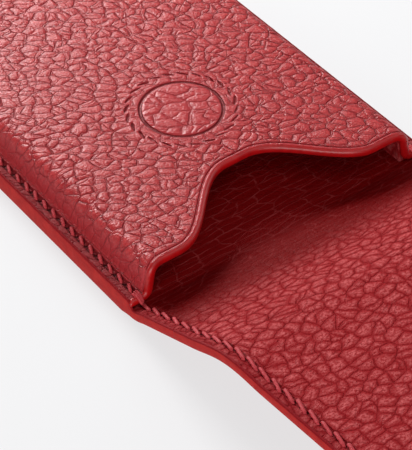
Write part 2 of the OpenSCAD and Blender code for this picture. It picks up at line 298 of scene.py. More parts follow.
class Nodes:
    """Short calls for building a node tree, which may be a material's or a geometry tree."""

    def __init__(self, tree):
        self.tree = tree

    def fill(self, node, inputs):
        """Gives a node its inputs, by name or number. Each is a value, a colour or another node's output."""
        for key, value in inputs.items():
            socket = node.inputs[key]
            if isinstance(value, bpy.types.NodeSocket):
                self.tree.links.new(value, socket)
            else:
                socket.default_value = (*value, 1.0) if socket.type == "RGBA" else value

    def add(self, kind, inputs=None, **settings):
        node = self.tree.nodes.new(kind)
        for key, value in settings.items():
            setattr(node, key, value)
        self.fill(node, inputs or {})
        return node

    def math(self, operation, *values, **settings):
        return self.add("ShaderNodeMath", dict(enumerate(values)), operation=operation, **settings).outputs[0]

    def plus(self, total, *values):
        for value in values:
            total = self.math("ADD", total, value)
        return total

    def times(self, product, *values):
        for value in values:
            product = self.math("MULTIPLY", product, value)
        return product

    def minus(self, a, b):
        return self.math("SUBTRACT", a, b)

    def vector(self, operation, a, b):
        """Vector arithmetic. For SCALE, b is the factor."""
        second = "Scale" if operation == "SCALE" else 1
        return self.add("ShaderNodeVectorMath", {0: a, second: b}, operation=operation).outputs[0]

    def split(self, vector):
        return self.add("ShaderNodeSeparateXYZ", {0: vector}).outputs

    def ramp(self, value, low, high, start=0.0, end=1.0):
        inputs = dict(enumerate((value, low, high, start, end)))
        return self.add("ShaderNodeMapRange", inputs, interpolation_type="SMOOTHSTEP").outputs[0]

    def noise(self, vector, scale, detail=2.0, roughness=0.5, output=0):
        inputs = {"Vector": vector, "Scale": scale, "Detail": detail, "Roughness": roughness}
        return self.add("ShaderNodeTexNoise", inputs, noise_dimensions="3D").outputs[output]

    def cells(self, vector, scale, randomness=1.0, feature="DISTANCE_TO_EDGE"):
        inputs = {"Vector": vector, "Scale": scale, "Randomness": randomness}
        return self.add("ShaderNodeTexVoronoi", inputs, voronoi_dimensions="2D", feature=feature).outputs[0]

    def mix(self, factor, a, b):
        """Mixes two colours."""
        return self.add("ShaderNodeMix", {0: factor, 6: a, 7: b}, data_type="RGBA").outputs[2]

    def attribute(self, name, output="Vector"):
        return self.add("ShaderNodeAttribute", attribute_type="GEOMETRY", attribute_name=name).outputs[output]

    def bump(self, height, distance=MM):
        inputs = {"Strength": 1.0, "Distance": distance, "Height": height}
        return self.add("ShaderNodeBump", inputs).outputs[0]


# ---- leather relief

# Two kinds of grain: crisp crossing creases on the outer leather, rounder pebbles on the lining. pebble and
# second are cell sizes. dome, crease, wrinkle and pores are heights, width is a crease's and groove a seam's
# depth. top, crease_shade and rim say how the colour follows pebble tops, creases and cut edges, and bare how
# little grain shows the smooth colour. The paler tops are partly painted sheen, the darker creases are partly
# painted shade, and the lining's smooth colour is painted shade near the mouth.
OUTER_GRAIN = {
    "pebble": 2.5, "second": 3.3, "dome": 0.09, "crease": 0.31, "wrinkle": 0.012, "pores": 0.19,
    "width": 0.085, "groove": 0.75, "top": 0.28, "crease_shade": 0.24, "rim": 0.72, "bare": 0.25,
}
LINING_GRAIN = {
    "pebble": 2.45, "second": 4.5, "dome": 0.30, "crease": 0.11, "wrinkle": 0.05, "pores": 0.20,
    "width": 0.07, "groove": 0.3, "top": 0.35, "crease_shade": 0.25, "rim": 0.3, "bare": 0.42,
}
SECOND_SHARE, SECOND_WIDTH = 0.6, 0.7
FINE_CELL, FINE_WIDTH = 1.1, 0.12
EVENNESS = 0.95
# Slow and quick unevenness of the pebbles: the noise's scale, and how far it moves them
UNEVEN = ((0.25, 2.6), (0.8, 0.4))
# The mesh takes this share of the relief, with its creases widened to what the mesh can hold
GEOMETRY_SHARE, GEOMETRY_WIDTH = 0.6, 2.6
# A pressed line or seam sinks between these distances from its middle
GROOVE_SIDES = (0.25, 0.75)
HOLE_DEPTH = 0.45
HOLE_HALF_WIDTH, HOLE_HALF_LENGTH, MEAN_PITCH = 0.36, 0.42, 3.2
FOLD_LINE_GAP = 2.5


def warped(n, uv):
    """Leather coordinates pushed about, so that the pebbles are uneven."""
    place = uv
    for scale, reach in UNEVEN:
        push = n.vector("SUBTRACT", n.noise(uv, scale, 1.0, output=1), (0.5, 0.5, 0.5))
        place = n.vector("ADD", place, n.vector("SCALE", push, reach))
    return place


def grain_height(n, grain, uv, amount, widen):
    """Height of the grain in millimetres, nought at the pebbles' tops, with what makes it up.

    widen spreads the creases, for a mesh that's too coarse to hold them at their true width.
    """
    place = warped(n, uv)
    width = grain["width"] * widen

    def sunk(edge, reach):
        """Nought away from the cells' edges, and -1 along them."""
        return n.minus(n.ramp(edge, 0.0, reach), 1.0)

    edge = n.cells(place, 1 / grain["pebble"], EVENNESS)
    centre = n.cells(place, 1 / grain["pebble"], EVENNESS, feature="F1")
    second_edge = n.cells(n.vector("ADD", place, (31.7, 12.3, 0.0)), 1 / grain["second"], EVENNESS)
    fine_edge = n.cells(n.vector("ADD", place, (7.1, 55.0, 0.0)), 1 / FINE_CELL)
    depth = n.ramp(n.noise(uv, 0.4, 1.0), 0.3, 0.62, 0.6, 1.0)
    patches = n.ramp(n.noise(n.vector("ADD", uv, (9.1, 47.0, 0.0)), 0.5, 1.0), 0.4, 0.62)
    dome = n.times(n.math("POWER", centre, 2.0), -1.0, depth)
    second = n.times(sunk(second_edge, width * SECOND_WIDTH), SECOND_SHARE)
    crease = n.times(n.math("MINIMUM", sunk(edge, width), second), depth)
    wrinkle = n.times(sunk(fine_edge, FINE_WIDTH), patches)
    parts = (("dome", dome), ("crease", crease), ("wrinkle", wrinkle))
    total = n.plus(*(n.times(part, grain[key]) for key, part in parts))
    return n.times(total, amount), crease, wrinkle, edge


def seam_height(n, seam, depth):
    """The groove of a seam or pressed line, and the needle holes halfway between the stitches.

    seam holds the distance across it and the stitch count along it.
    """
    across, along, _ = n.split(seam)
    across = n.math("ABSOLUTE", across)
    groove = n.ramp(across, *GROOVE_SIDES, -depth, 0.0)
    long = n.times(n.minus(n.math("FRACT", along), 0.5), MEAN_PITCH / HOLE_HALF_LENGTH)
    wide = n.times(across, 1 / HOLE_HALF_WIDTH)
    reach = n.math("SQRT", n.plus(n.math("POWER", long, 2.0), n.math("POWER", wide, 2.0)))
    return groove, n.ramp(reach, 0.35, 1.0, 1.0, 0.0)


def leather_height(n, grain, uv, amount, seam, widen=1.0):
    height, crease, wrinkle, edge = grain_height(n, grain, uv, amount, widen)
    groove, hole = seam_height(n, seam, grain["groove"])
    return n.plus(height, groove, n.times(hole, -HOLE_DEPTH)), crease, wrinkle, edge, hole


def relief_tree(name, grain):
    """A geometry tree that raises and sinks a leather mesh along its normals."""
    tree = bpy.data.node_groups.new(name, "GeometryNodeTree")
    for direction in ("INPUT", "OUTPUT"):
        tree.interface.new_socket("Geometry", in_out=direction, socket_type="NodeSocketGeometry")
    n = Nodes(tree)

    def named(key, kind):
        return n.add("GeometryNodeInputNamedAttribute", {"Name": key}, data_type=kind).outputs["Attribute"]

    uv, amount, seam = named("grain", "FLOAT_VECTOR"), named("amount", "FLOAT"), named("seam", "FLOAT_VECTOR")
    height = leather_height(n, grain, uv, amount, seam, GEOMETRY_WIDTH)[0]
    normal = n.add("GeometryNodeInputNormal").outputs[0]
    offset = n.vector("SCALE", normal, n.times(height, MM * GEOMETRY_SHARE))
    flat = n.add("NodeGroupInput").outputs[0]
    raised = n.add("GeometryNodeSetPosition", {"Geometry": flat, "Offset": offset}).outputs[0]
    n.add("NodeGroupOutput", {0: raised})
    return tree


OUTER_RELIEF = relief_tree("outer_relief", OUTER_GRAIN)
LINING_RELIEF = relief_tree("lining_relief", LINING_GRAIN)


def relieved(points, quads, attributes, relief):
    """The points of a leather surface after the relief has moved them."""
    piece = make_object("relief", points, quads.tolist(), attributes)
    piece.modifiers.new("relief", "NODES").node_group = relief
    shown = piece.evaluated_get(bpy.context.evaluated_depsgraph_get())
    moved = np.zeros(len(points) * 3)
    shown.data.vertices.foreach_get("co", moved)
    mesh = piece.data
    bpy.data.objects.remove(piece)
    bpy.data.meshes.remove(mesh)
    return moved.reshape(-1, 3) / MM


# ---- materials


def new_material(name, roughness):
    """A material, the Nodes of its tree, and its shader."""
    material = bpy.data.materials.new(name)
    material.use_nodes = True
    shader = material.node_tree.nodes["Principled BSDF"]
    shader.inputs["Roughness"].default_value = roughness
    return material, Nodes(material.node_tree), shader


def fold_lines(n, uv):
    """Long, thin lines across the case with short ones between, where the lining has creased with folding."""
    drift = n.noise(n.vector("MULTIPLY", uv, (0.10, 0.16, 0.0)), 1.0, 2.0, 0.55)
    phase = n.plus(n.times(n.split(uv)[1], 1 / FOLD_LINE_GAP), n.times(drift, 1.6))
    away = n.math("ABSOLUTE", n.minus(n.math("FRACT", phase), 0.5))
    long_lines = n.ramp(away, 0.0, 0.07, 1.0, 0.0)
    cross = n.cells(n.vector("MULTIPLY", warped(n, uv), (0.19, 0.26, 0.0)), 1.0)
    cross_lines = n.ramp(cross, 0.0, 0.05, 0.7, 0.0)
    broken = n.ramp(n.noise(uv, 0.45, 2.0), 0.36, 0.6, 0.3, 1.0)
    return n.times(n.math("MAXIMUM", long_lines, cross_lines), broken)


def leather_material(name, grain, colours, roughness, gloss, folded=False):
    """Pebbled leather: paler, speckled pebble tops, darker and redder creases, fine pores.

    colours holds the tops, the slopes, the creases, and the smooth leather where there's little grain. The
    paler, speckled tops are partly the leather's own colour and partly painted sheen; on the lining, whose
    gloss is nearly nil, they are painted sheen. The darker creases are partly the leather's own colour and
    partly painted shade, the needle holes are painted shade, and on the lining the smooth colour is painted
    shade near the mouth.
    """
    top, slope, crease_dark_and_shade, smooth_and_shaded = colours
    hole_shade_colour = (crease_dark_and_shade[0] * 0.35, crease_dark_and_shade[1] * 0.3, crease_dark_and_shade[2] * 0.3)
    material, n, shader = new_material(name, roughness)
    uv, amount, seam = n.attribute("grain"), n.attribute("amount", "Fac"), n.attribute("seam")
    across, _, from_edge = n.split(seam)
    height, crease, wrinkle, edge, hole = leather_height(n, grain, uv, amount, seam)

    # Finer than the pebbles: pores in the relief and the gloss, speckles and clouds in the colour; the
    # speckles pale the pebble tops, partly as painted sheen
    pores = n.noise(uv, 2.5, 1.0, 0.6)
    speckle = n.noise(n.vector("ADD", uv, (3.3, 7.9, 5.0)), 2.0, 2.0, 0.7)
    cloud = n.noise(uv, 0.12, 3.0, 0.6)
    height = n.plus(height, n.times(pores, grain["pores"], n.ramp(amount, 0.1, 0.45, 0.2, 1.0)))

    # Creases painted darker and redder: partly the leather's own colour, partly painted shade in the creases
    crease_shade_share = n.plus(n.times(crease, -grain["crease_shade"]), n.times(wrinkle, -0.1))
    crease_shade_share = n.math("MULTIPLY", crease_shade_share, n.ramp(amount, 0.0, 0.7), use_clamp=True)
    near_edge = n.ramp(from_edge, 1.0, 4.2, grain["rim"], 0.0)
    pressed = n.ramp(n.math("ABSOLUTE", across), *GROOVE_SIDES, 0.6, 0.0)
    # Paler, speckled pebble tops: painted sheen on the lining, partly painted sheen on the outer leather
    tops = n.times(n.ramp(edge, 0.02, grain["top"]), n.ramp(speckle, 0.38, 0.60, 0.1, 1.0))
    body = n.mix(tops, slope, top)
    body = n.mix(n.ramp(cloud, 0.3, 0.75, 0.0, 0.3), body, slope)
    # Little grain shows the smooth colour, which on the lining is painted shade near the mouth
    body = n.mix(n.ramp(amount, grain["bare"], 0.97), smooth_and_shaded, body)
    for share in (crease_shade_share, near_edge, pressed):
        body = n.mix(share, body, crease_dark_and_shade)
    # Needle holes painted dark: painted shade
    body = n.mix(n.times(hole, 0.9), body, hole_shade_colour)
    if folded:
        line = n.times(fold_lines(n, uv), n.ramp(amount, 0.3, 0.7, 1.0, 0.0))
        body = n.mix(n.times(line, 0.26), body, top)
        height = n.plus(height, n.times(line, 0.035))

    rough = n.plus(n.ramp(pores, 0.3, 0.7, roughness - 0.08, roughness + 0.08),
                   n.times(n.math("MAXIMUM", crease_shade_share, near_edge), 0.45))
    n.fill(shader, {
        "Base Color": body,
        "Roughness": rough,
        "Normal": n.bump(height),
        "Specular IOR Level": gloss,
    })
    return material


def edge_material(name, colour, deep, rim_colour, roughness, gloss, coat):
    """Burnished and painted leather edge: glossy, a little uneven, darker along the rim, partly as painted
    shade.
    """
    material, n, shader = new_material(name, roughness)
    place = n.attribute("along")
    slow = n.noise(place, 0.5, 2.0)
    quick = n.noise(place, 4.5, 3.0, 0.6)
    # A ragged band along the upper rim takes the rim colour: partly the leather showing, partly painted shade
    # that dulls the light on the rounded rim
    rim = n.plus(n.split(place)[2], n.times(n.minus(quick, 0.5), 0.9))
    paint = n.mix(n.ramp(slow, 0.3, 0.7), colour, deep)
    n.fill(shader, {
        "Base Color": n.mix(n.ramp(rim, 0.35, 0.75), paint, rim_colour),
        "Roughness": n.ramp(quick, 0.3, 0.75, roughness - 0.06, roughness + 0.1),
        "Normal": n.bump(n.plus(n.times(slow, 0.12), n.times(quick, 0.03))),
        "Specular IOR Level": gloss,
        "Coat Weight": coat,
        "Coat Roughness": 0.25,
    })
    return material


def thread_material():
    """Waxed twisted thread, a touch paler than the leather."""
    material, n, shader = new_material("waxed_thread", 0.5)
    fuzz = n.noise(n.attribute("along"), 14.0, 3.0, 0.7)
    n.fill(shader, {
        "Base Color": n.mix(n.ramp(fuzz, 0.3, 0.7), (0.33, 0.017, 0.025), (0.52, 0.055, 0.064)),
        "Roughness": n.ramp(fuzz, 0.3, 0.7, 0.42, 0.62),
        "Normal": n.bump(n.times(fuzz, 0.05)),
        "Specular IOR Level": 0.18,
    })
    return material


def board_material():
    """Grey-brown bonded board, a little fibrous."""
    material, n, shader = new_material("bonded_board", 0.85)
    fibre = n.noise(n.add("ShaderNodeTexCoord").outputs["Object"], 900.0, 4.0, 0.7)
    n.fill(shader, {
        "Base Color": n.mix(fibre, (0.30, 0.27, 0.24), (0.48, 0.45, 0.40)),
        "Normal": n.bump(fibre, 0.0001),
    })
    return material


def magnet_material():
    """Nickel plate with a slight haze."""
    material, n, shader = new_material("nickel_plate", 0.25)
    haze = n.noise(n.add("ShaderNodeTexCoord").outputs["Object"], 1500.0, 3.0, 0.6)
    n.fill(shader, {
        "Base Color": n.mix(haze, (0.60, 0.60, 0.62), (0.78, 0.78, 0.78)),
        "Roughness": n.ramp(haze, 0.2, 0.8, 0.18, 0.36),
        "Metallic": 1.0,
    })
    return material


# Tops, slopes, creases and smooth leather. The paler tops are partly painted sheen, wholly so on the lining;
# the darker creases are partly painted shade; the lining's very dark smooth colour is painted shade near the
# mouth.
OUTER_COLOURS = ((0.44, 0.033, 0.033), (0.31, 0.009, 0.013), (0.16, 0.003, 0.006), (0.36, 0.020, 0.025))
LINING_COLOURS = ((0.50, 0.090, 0.092), (0.27, 0.011, 0.014), (0.12, 0.002, 0.004), (0.13, 0.001, 0.0016))
# Edge paints: colour, a deeper tone, and the rim colour, darker partly as the leather showing and partly as
# painted shade that dulls the light on the rounded rim
PAINT_COLOURS = ((0.42, 0.020, 0.017), (0.34, 0.014, 0.013), (0.20, 0.006, 0.009))
LIP_COLOURS = ((0.36, 0.002, 0.003), (0.29, 0.001, 0.002), (0.30, 0.004, 0.005))

OUTER = leather_material("outer_leather", OUTER_GRAIN, OUTER_COLOURS, 0.45, gloss=0.36)
LINING = leather_material("lining_leather", LINING_GRAIN, LINING_COLOURS, 0.5, gloss=0.03, folded=True)
PAINT = edge_material("edge_paint", *PAINT_COLOURS, 0.55, gloss=0.05, coat=0.0)
LIP_PAINT = edge_material("mouth_edge_paint", *LIP_COLOURS, 0.38, gloss=0.42, coat=0.06)
THREAD = thread_material()


# ---- plan of the case laid flat

# A seam's run round the end of a panel: two corner arcs, and twice SEAM_FLAT between them
SEAM_RADIUS = CORNER - SEAM_INSET
SEAM_ARC = math.pi * SEAM_RADIUS / 2
SEAM_FLAT = SEAM_X - SEAM_RADIUS
END_RUN = 2 * SEAM_ARC + 2 * SEAM_FLAT

Seam = namedtuple("Seam", "end first pitch direction")
FLAP_SEAM = Seam(TIP, CREASE[0] - FIRST_FLAP_STITCH, FLAP_PITCH, -1)
POCKET_SEAM = Seam(PANEL_END, MOUTH + FIRST_POCKET_STITCH, POCKET_PITCH, 1)


def edge_distance(x, y):
    """Distance in from the cut edge of the whole case, which runs from the closed end to the flap's tip."""
    ax = np.abs(x)
    ends = np.minimum(PANEL_END - y, y - TIP)
    cx, cy = ax - (HALF - CORNER), CORNER - ends
    return np.where((cx > 0) & (cy > 0), CORNER - np.hypot(cx, cy), np.minimum(HALF - ax, ends))


def seam_place(x, y, seam):
    """Distance across a seam, and the stitch count along it, which is whole in the middle of each stitch.

    The count follows the case's side, then goes round the end of the panel.
    """
    ax = np.abs(x)
    beyond = (y - seam.end) * seam.direction + CORNER
    in_corner = (beyond > 0) & (ax > SEAM_FLAT)
    on_end = in_corner | ((beyond > 0) & (beyond > ax - SEAM_FLAT))
    angle = np.arctan2(ax - SEAM_FLAT, np.maximum(beyond, 1e-9))
    from_side = np.where(in_corner, (math.pi / 2 - angle) * SEAM_RADIUS, SEAM_ARC + SEAM_FLAT - ax)
    along_end = np.where(x < 0, from_side, END_RUN - from_side)
    spacing = END_RUN / math.floor(END_RUN / seam.pitch)
    along = np.where(on_end, along_end / spacing - 0.5, (y - seam.first) * seam.direction / seam.pitch)
    return SEAM_INSET - edge_distance(x, y), along


def half_width(y):
    """Half width of the leather, at each y."""
    radius = CORNER - EDGE_INSET
    past = np.clip(CORNER - np.minimum(PANEL_END - y, y - TIP), 0, radius)
    return HALF - CORNER + np.sqrt(radius**2 - past**2)


# ---- skins: lining and outer leather


def skin_rows(spacings):
    """Distances from the crease at which a skin has a row of points: back, near the mouth, spine, flap."""
    closed_end = CREASE[0] - PANEL_END
    corner = (CORNER - EDGE_INSET) * np.sin(np.linspace(0, math.pi / 2, 22))[1:]
    back, mouth, spine, flap = spacings
    inner = steps_between([(closed_end + CORNER, back), (-24.0, mouth), (-3.0, spine), (CUTS[0], spine),
                           (CUTS[1], flap), (FLAP_LENGTH - CORNER, None)])
    return np.concatenate([closed_end + CORNER - corner[::-1], inner, FLAP_LENGTH - CORNER + corner])


def stretched(rows, strength):
    """Leather coordinates along the case, closer together where the pebbles are drawn out across it."""
    middle = (rows[1:] + rows[:-1]) / 2
    squeeze = 1 + bell(middle, 4, 15.0, strength) + 0.22 * strength
    return np.concatenate([[0], np.cumsum(np.diff(rows) * squeeze)])


def skin(name, nodes, material, relief, rows, spacing, face_up, face, hidden, amount_at, shift, drawn):
    """A leather skin of the whole case, relieved, opened to its rest shape and cut into three closed lengths.

    Each length keeps the whole skin's smooth normals, so no cut shows. Its hidden side is two points a row.
    """
    columns = round(2 * (HALF - EDGE_INSET) / spacing) + 1
    s = np.repeat(rows, columns)
    y = CREASE[0] - s
    x = half_width(y) * np.tile(np.linspace(-1, 1, columns), len(rows))
    edge = edge_distance(x, y)
    on_flap = s > -0.3
    flap_across, flap_along = seam_place(x, y, FLAP_SEAM)
    pocket_across, pocket_along = seam_place(x, y, POCKET_SEAM)
    # The flange covers the pocket's seam on the lining's side
    across = np.where(on_flap, flap_across, FAR if face_up else pocket_across)
    attributes = {
        "grain": stack(x * 0.85 + shift, np.repeat(stretched(rows, drawn), columns), 0.0),
        "amount": np.maximum(amount_at(s), 0.85 * (1 - ramp(edge, 1.8, 2.7))),
        "seam": stack(across, np.where(on_flap, flap_along, pocket_along), edge),
    }
    quads = grid_faces(len(rows), columns, flip=face_up)
    points = relieved(to_rest(stack(x, y, face(s))), quads, attributes, relief)

    row_y = CREASE[0] - rows
    sides = [to_rest(stack(sign * half_width(row_y), row_y, hidden(rows))) for sign in (1, -1)]

    def rings(values, two_hidden):
        """Values row by row, with those of the row's two hidden points last."""
        grid = values.reshape(len(rows), columns, -1)
        return np.concatenate([grid, np.broadcast_to(two_hidden, (len(rows), 2, grid.shape[2]))], 1)

    shape = rings(points, np.stack(sides, 1))
    normals = rings(point_normals(points, quads), 0.0)
    looks = {key: rings(values, HIDDEN[key]) for key, values in attributes.items()}
    cut_rows = [0, *(int(np.argmin(np.abs(rows - cut))) for cut in CUTS), len(rows) - 1]
    pieces = []
    for part, first, last in zip(("back", "spine", "flap"), cut_rows, cut_rows[1:]):

        def taken(values):
            return values[first : last + 1].reshape(-1, values.shape[2]).squeeze()

        faces = tube_faces(last - first + 1, columns + 2)
        if face_up:
            faces = [face[::-1] for face in faces]
        look = {key: taken(values) for key, values in looks.items()}
        piece = make_object(f"{name}_{part}", taken(shape), faces, look, material)
        piece.data.normals_split_custom_set_from_vertices(taken(normals).tolist())
        pieces.append(piece)
    replaced = ([f"back_{nodes}", f"spine_{nodes}"], [f"flap_root_{nodes}"], [f"flap_tip_{nodes}"])
    place_lengths(pieces, replaced)


def outer_face(s):
    """Height of the case's outer face: the flap has no board, so it steps up past the board's end."""
    return FLAP_OUTER_FACE * ramp(s, -3.2, -0.4)


def lining():
    skin(
        "lining", "lining", LINING, LINING_RELIEF,
        rows=skin_rows((1.6, 0.36, 0.26, 0.32)), spacing=0.32, face_up=True,
        face=lambda s: np.full_like(s, FLOOR), hidden=lambda s: np.full_like(s, BOARD_TOP + GAP),
        # Near the crease the lining has less grain and its dark smooth colour: smoother leather, with painted
        # shade of the pocket over the flap
        amount_at=lambda s: 0.25 + 0.75 * ramp(s, 0.0, 25.0), shift=140.0, drawn=0.7,
    )


def outer_skin():
    skin(
        "outer_leather", "leather", OUTER, OUTER_RELIEF,
        rows=skin_rows((0.42, 0.42, 0.3, 0.38)), spacing=0.42, face_up=False,
        face=lambda s: outer_face(s) + WIDE_GAP, hidden=lambda s: outer_face(s) + OUTER_LEATHER - GAP,
        amount_at=lambda s: np.full_like(s, 0.9), shift=-260.0, drawn=0.25,
    )


# ---- the moulded pocket

# Length of the pocket's top, and how far in from the mouth and the closed end their outlines fade
TOP_LENGTH = 89.0
MOUTH_FADE, END_FADE = 22.0, 18.0
CROWN = 0.2
# The pressed ring, the short slanted notches round it, and the line behind the lip
RING_RADIUS = 8.25
NOTCH_RADIUS, NOTCH_COUNT, NOTCH_SLANT = 10.9, 24, 0.85
LIP_LINE = 1.35
# The mesh is finer this far from the magnet's centre
FINE_REACH = 12.5
# How much of the grain's run the walls and the disc show
WALL_GRAIN, DISC_GRAIN = 0.75, 0.62
# The grain runs aslant over the pocket, its cells longer than they are wide
GRAIN_ANGLE, GRAIN_LONG, GRAIN_WIDE = math.radians(-37), 0.82, 1.2
GRAIN_RUN = np.array([[math.cos(GRAIN_ANGLE) * GRAIN_LONG, -math.sin(GRAIN_ANGLE) * GRAIN_WIDE],
                      [math.sin(GRAIN_ANGLE) * GRAIN_LONG, math.cos(GRAIN_ANGLE) * GRAIN_WIDE]])

# A pocket's points and faces, the points along the flange's edge and the mouth, and for each point its place
# in the leather laid flat and its distance down the wall from the flat top
Sheet = namedtuple("Sheet", "points faces flange mouth plan wall")


def lip(x):
    """How far the mouth line lies behind the flange's end, at each x."""
    ax = np.abs(x)
    share = np.clip((ax - NOTCH_FLAT) / (NOTCH_HALF - NOTCH_FLAT), 0, 1)
    notch = NOTCH_DEPTH * (1 + np.cos(math.pi * share)) / 2
    return notch + LIP_SETBACK * ramp(POCKET_HALF - WALL_LEAN - ax, 0, 4.0)


def pocket_levels(inset, flange_z, fillet, spacing):
    """Cross-section of a pocket shell from flange to flat top: half width, height and corner radius."""
    start, wall, shoulder = HALF - EDGE_INSET, POCKET_HALF - inset, SHOULDER - inset
    upper = wall - WALL_LEAN
    low, high = flange_z + fillet, POCKET_TOP - SHOULDER

    def shares(length, least):
        return np.linspace(0, 1, max(least, round(length / spacing)), endpoint=False)

    flange = shares(start - wall - fillet, 2)
    bend = math.pi / 2 * (shares(fillet * 1.5, 2) if fillet else np.zeros(1))
    side = shares(high - low, 2)
    turned = np.linspace(0, math.pi / 2, max(3, round(shoulder * 1.57 / spacing)) + 1)
    half, z = np.concatenate([
        stack(start + (wall + fillet - start) * flange, flange_z),
        stack(wall + fillet - fillet * np.sin(bend), low - fillet * np.cos(bend)),
        stack(wall - WALL_LEAN * side, low + (high - low) * side),
        stack(upper - shoulder + shoulder * np.cos(turned), high + shoulder * np.sin(turned)),
    ]).T
    beyond = half - POCKET_HALF
    radius = POCKET_CORNER + np.where(beyond < 0, beyond, beyond / 3.6)
    return stack(half, z, np.maximum(radius, 0.3))


def pocket_sheet(levels, row_shares, column_places, arc_steps):
    """A moulded pocket shell as one sheet: U-shaped rings from the flange to the top, then the top itself."""
    half, top_z, radius = levels[-1]
    depth = PANEL_END - (HALF - half) - radius - MOUTH
    places = row_shares * depth
    rows = len(places)
    inner = half - radius
    straight = column_places[np.abs(column_places) < inner - 1e-6]
    a = np.arccos(1 - np.linspace(0, 1, arc_steps + 1))
    corner = stack(-np.cos(a), np.sin(a))
    outward = np.concatenate([corner, stack(0 * straight, 1.0), mirrored(corner)])

    def end_points(h, r):
        far = PANEL_END - (HALF - h)
        left = corner * r + [r - h, far - r]
        return np.concatenate([left, stack(straight / inner * (h - r), far), mirrored(left)])

    def side_y(h, r):
        setback = lip(h) + LIP_INSET
        longer = PANEL_END - (HALF - h) - r - MOUTH - depth
        return MOUTH + places + setback * (1 - row_shares) + longer * row_shares

    def around(h, side, end):
        """A run up the left side, round the closed end, and down the right side."""
        left = stack(-h, side)[:-1]
        return np.concatenate([left, end, mirrored(left)])

    end_line, side_line = end_points(half, radius), side_y(half, radius)
    arcs = lengths_along(levels[::-1, :2])[::-1]
    rings, plans = [], []
    for (h, z, r), arc in zip(levels, arcs):
        ring = around(h, side_y(h, r), end_points(h, r))
        rings.append(stack(*ring.T, z))
        run = arc * WALL_GRAIN
        plans.append(around(half + run, side_line, end_line + outward * run))
    size = len(rings[0])
    firsts = np.arange(len(rings)) * size

    # On the top, columns run from the lip to the closed end, and its border is the last ring
    x = np.tile(end_line[:, 0], (rows, 1))
    notch = lip(x[0]) + LIP_INSET
    reach = ramp(places, depth - END_FADE, depth)[:, None] * (end_line[:, 1] - side_line[-1])
    by_side = side_line[:, None] + reach
    by_mouth = MOUTH + places[:, None] + notch * np.clip(1 - places / MOUTH_FADE, 0, 1)[:, None] + reach
    y = by_side + (by_mouth - by_side) * ramp(half - np.abs(x[0]), 0, 3.0)
    y[0] = MOUTH + notch
    number = np.full(x.shape, -1)
    number[:, 0] = firsts[-1] + np.arange(rows)
    number[:, -1] = firsts[-1] + size - 1 - np.arange(rows)
    number[-1] = firsts[-1] + rows - 1 + np.arange(len(end_line))
    new = number < 0
    number[new] = len(rings) * size + np.arange(new.sum())
    top = stack(x[new], y[new], top_z)
    corners = (number[:-1, :-1], number[:-1, 1:], number[1:, 1:], number[1:, :-1])
    return Sheet(
        points=np.concatenate([*rings, top]),
        faces=np.concatenate([grid_faces(len(rings), size, flip=True), np.stack(corners, -1).reshape(-1, 4)]),
        flange=np.arange(size),
        mouth=np.concatenate([firsts, number[0, 1:], firsts[-2::-1] + size - 1]),
        plan=np.concatenate([*plans, top[:, :2]]),
        wall=np.concatenate([np.repeat(arcs, size), np.zeros(len(top))]),
    )


def crowned(points, inset):
    """Gives the pocket's flat top a slight crown."""
    level = ramp(points[:, 2], POCKET_TOP - inset - SHOULDER, POCKET_TOP - inset)
    x = points[:, 0] / POCKET_HALF
    y = 2 * (points[:, 1] - MOUTH) / (PANEL_END - MOUTH) - 1
    lift = CROWN * np.clip(1 - x**2, 0, 1) * np.clip(1 - y**4, 0, 1) * level
    return points + lift[:, None] * [0, 0, 1]


def near_notches(points):
    """Distance from the magnet's centre, then the nearest notch: its number, share along and distance off."""
    x, y = points[:, 0], points[:, 1] - MAGNET_Y
    radius = np.hypot(x, y)
    place = np.arctan2(y, x) / (2 * math.pi) * NOTCH_COUNT
    share = place - np.floor(place)
    return radius, np.floor(place), share, radius - NOTCH_RADIUS - NOTCH_SLANT * (share - 0.5)


def pressed_ring(points):
    """Height of the magnet's pressed ring, its low dome, and the notches around it."""
    radius, number, share, off = near_notches(points)
    groove = bell(radius, RING_RADIUS, 0.33, -0.3)
    dome = 0.1 * np.clip(1 - (radius / RING_RADIUS) ** 4, 0, 1)
    strength = np.sqrt(np.sin(math.pi * share)) * (0.75 + 0.25 * np.sin(number * 2.4))
    notches = (bell(off, 0.0, 0.26, -0.3) + bell(off, 0.5, 0.3, 0.13)) * strength
    return (groove + dome + notches) * ramp(points[:, 2], POCKET_TOP - 1.0, POCKET_TOP - 0.1)


def pressed_lip(back):
    """Height of the creased line that runs along the mouth, and of the roll before it."""
    return bell(back, LIP_LINE, 0.25, -0.26) + bell(back, 0.8, 0.3, 0.08)


def pressed_lines(points, back):
    """Scaled distance across the nearest crisp line: the ring, the notches round it, or the lip's line."""
    radius, _, share, off = near_notches(points)
    notch = off / np.maximum(np.sqrt(np.sin(math.pi * share)), 0.05)
    nearest = (radius - RING_RADIUS) * 1.9
    # The notches and the lip's line stay shallower than the ring
    for other in (np.hypot(notch * 1.9, 0.35), np.hypot((back - LIP_LINE) * 2.4, 0.54)):
        nearest = np.where(other < np.abs(nearest), other, nearest)
    return np.clip(nearest, -FAR, FAR)


def lip_distance(points):
    """Distance back from the cut edge of the mouth, near enough for the lines pressed along it."""
    x = points[:, 0]
    slope = (lip(x + 0.05) - lip(x - 0.05)) / 0.1
    return (points[:, 1] - MOUTH - lip(x)) / np.sqrt(1 + slope**2)


